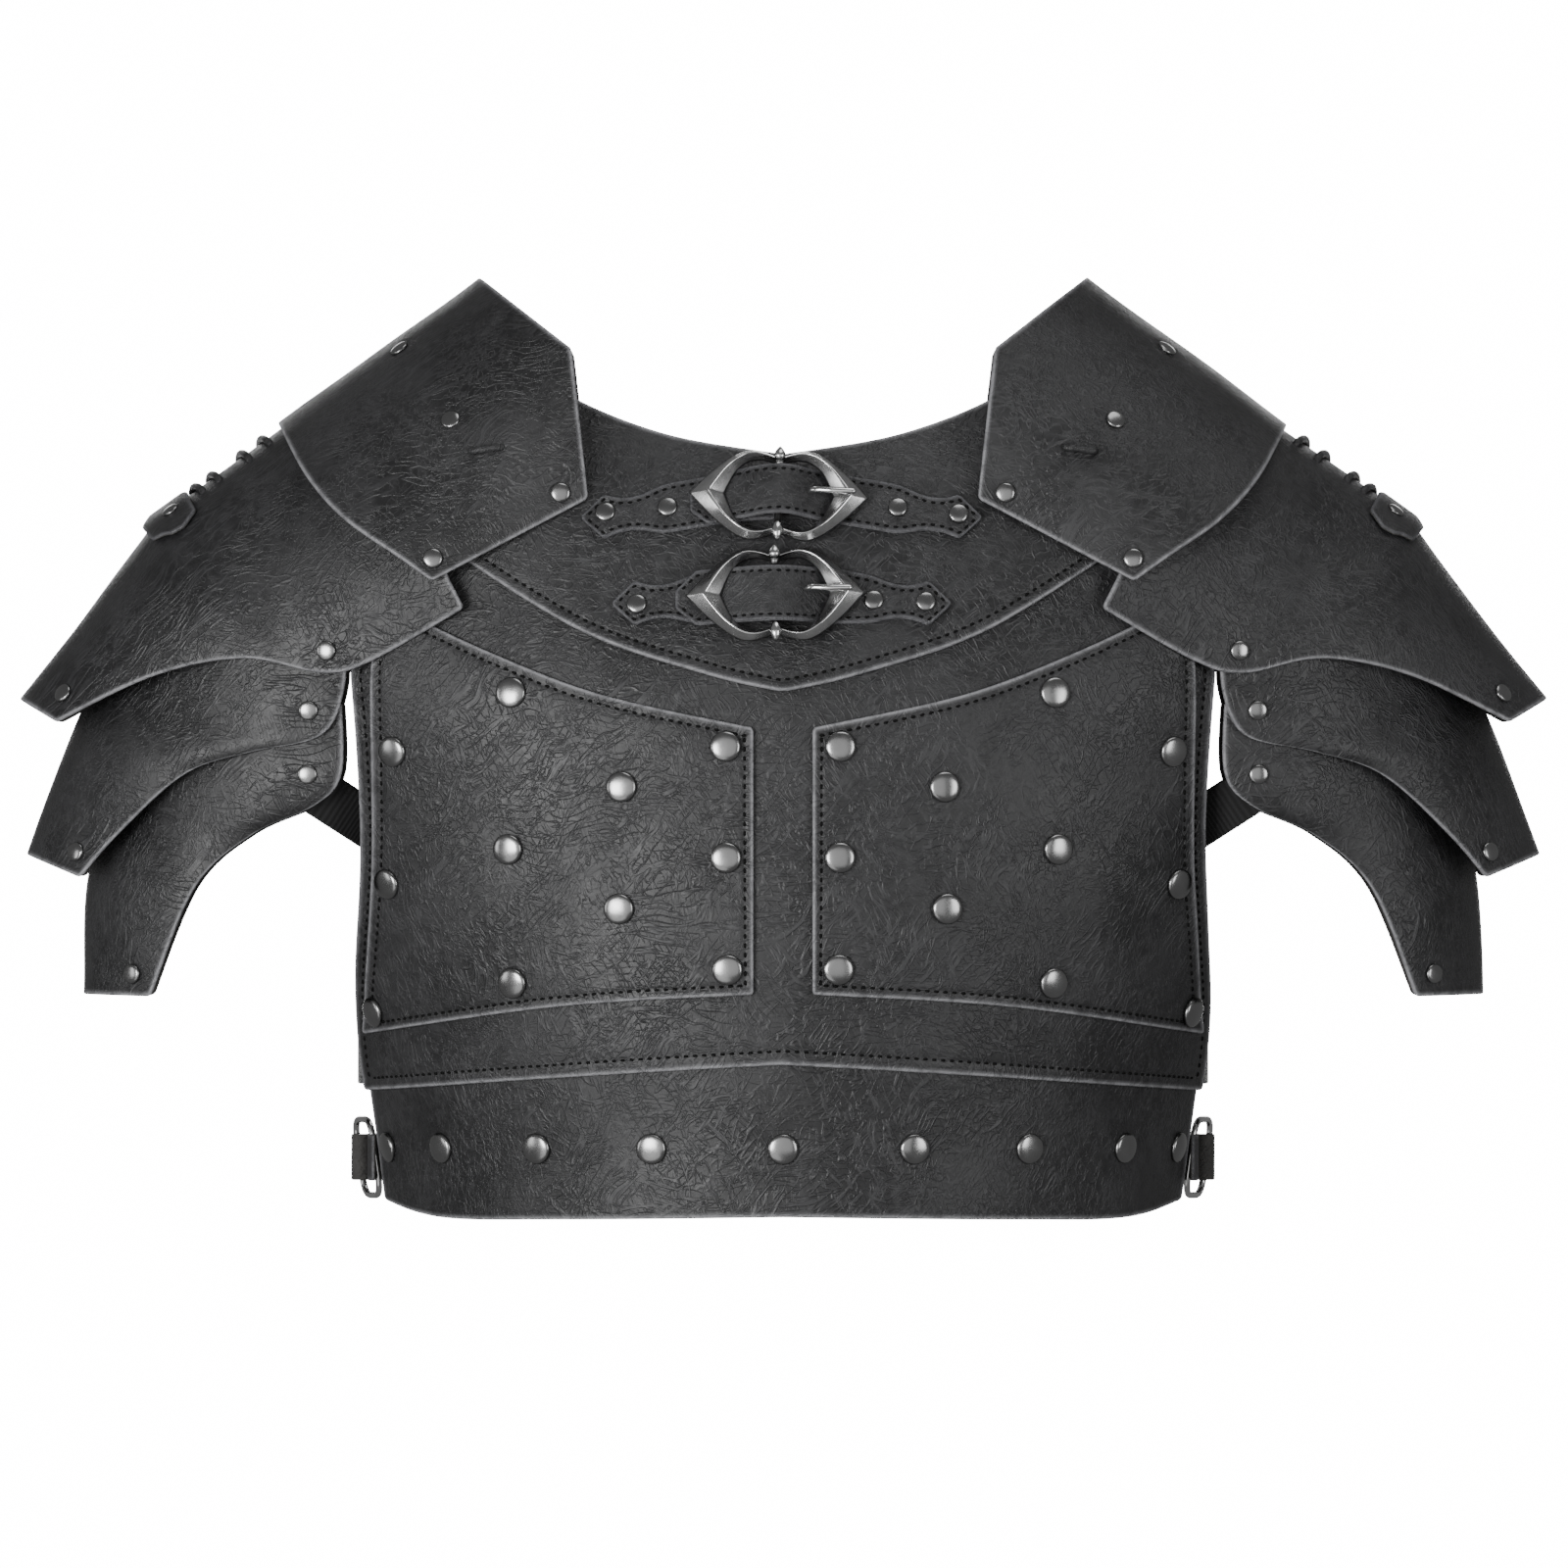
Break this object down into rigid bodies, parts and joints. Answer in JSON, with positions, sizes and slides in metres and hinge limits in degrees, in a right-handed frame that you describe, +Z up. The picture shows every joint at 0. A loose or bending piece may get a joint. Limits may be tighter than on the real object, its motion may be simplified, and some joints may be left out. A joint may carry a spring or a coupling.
{
  "type": "leather breastplate with pauldrons",
  "caption": "Black leather breastplate with a buckled yoke, riveted chest plates, a waist belt and laminated shoulder guards folded over each arm.",
  "frame": {"origin": "midway between the shoulders, at shoulder height, on the middle line, where the wearer's torso carries the armour", "axes": "+X to the wearer's left as seen from the front (right in the front view), -Y towards the front, +Z up"},
  "size_m": [0.626, 0.2586, 0.3857],
  "materials": {
    "black_leather": "smooth black leather, semi-matt, finely creased",
    "strap_leather": "black strap leather, stitched",
    "black_webbing": "flat black woven webbing",
    "nickel_rivet": "polished gunmetal nickel",
    "antique_silver": "antique silver casting, bright ridges and dark hollows"
  },
  "bodies": {
    "root": {"base_panel": "black_leather", "yoke": "black_leather", "chest_plate_l": "black_leather", "chest_plate_r": "black_leather", "waist_belt": "black_leather", "chest_rivet_l_1": "nickel_rivet", "chest_rivet_l_2": "nickel_rivet", "chest_rivet_l_3": "nickel_rivet", "chest_rivet_l_4": "nickel_rivet", "chest_rivet_l_5": "nickel_rivet", "chest_rivet_l_6": "nickel_rivet", "chest_rivet_l_7": "nickel_rivet", "chest_rivet_l_8": "nickel_rivet", "chest_rivet_l_9": "nickel_rivet", "chest_rivet_l_10": "nickel_rivet", "chest_rivet_l_11": "nickel_rivet", "chest_rivet_r_1": "nickel_rivet", "chest_rivet_r_2": "nickel_rivet", "chest_rivet_r_3": "nickel_rivet", "chest_rivet_r_4": "nickel_rivet", "chest_rivet_r_5": "nickel_rivet", "chest_rivet_r_6": "nickel_rivet", "chest_rivet_r_7": "nickel_rivet", "chest_rivet_r_8": "nickel_rivet", "chest_rivet_r_9": "nickel_rivet", "chest_rivet_r_10": "nickel_rivet", "chest_rivet_r_11": "nickel_rivet", "strap_tab_upper": "strap_leather", "strap_upper": "strap_leather", "buckle_upper": "antique_silver", "prong_upper": "antique_silver", "strap_tab_lower": "strap_leather", "strap_lower": "strap_leather", "buckle_lower": "antique_silver", "prong_lower": "antique_silver", "shoulder_cap_l": "black_leather", "lame_1_l": "black_leather", "lame_2_l": "black_leather", "lame_3_l": "black_leather", "crest_tab_l": "strap_leather", "crest_lace_l": "strap_leather", "cap_tie_l": "strap_leather", "ring_loop_l": "strap_leather", "arm_strap_l": "black_webbing", "d_ring_l": "antique_silver", "shoulder_cap_r": "black_leather", "lame_1_r": "black_leather", "lame_2_r": "black_leather", "lame_3_r": "black_leather", "crest_tab_r": "strap_leather", "crest_lace_r": "strap_leather", "cap_tie_r": "strap_leather", "ring_loop_r": "strap_leather", "arm_strap_r": "black_webbing", "d_ring_r": "antique_silver", "waist_back_strap": "strap_leather", "chest_back_strap": "strap_leather"}
  },
  "joints": []
}
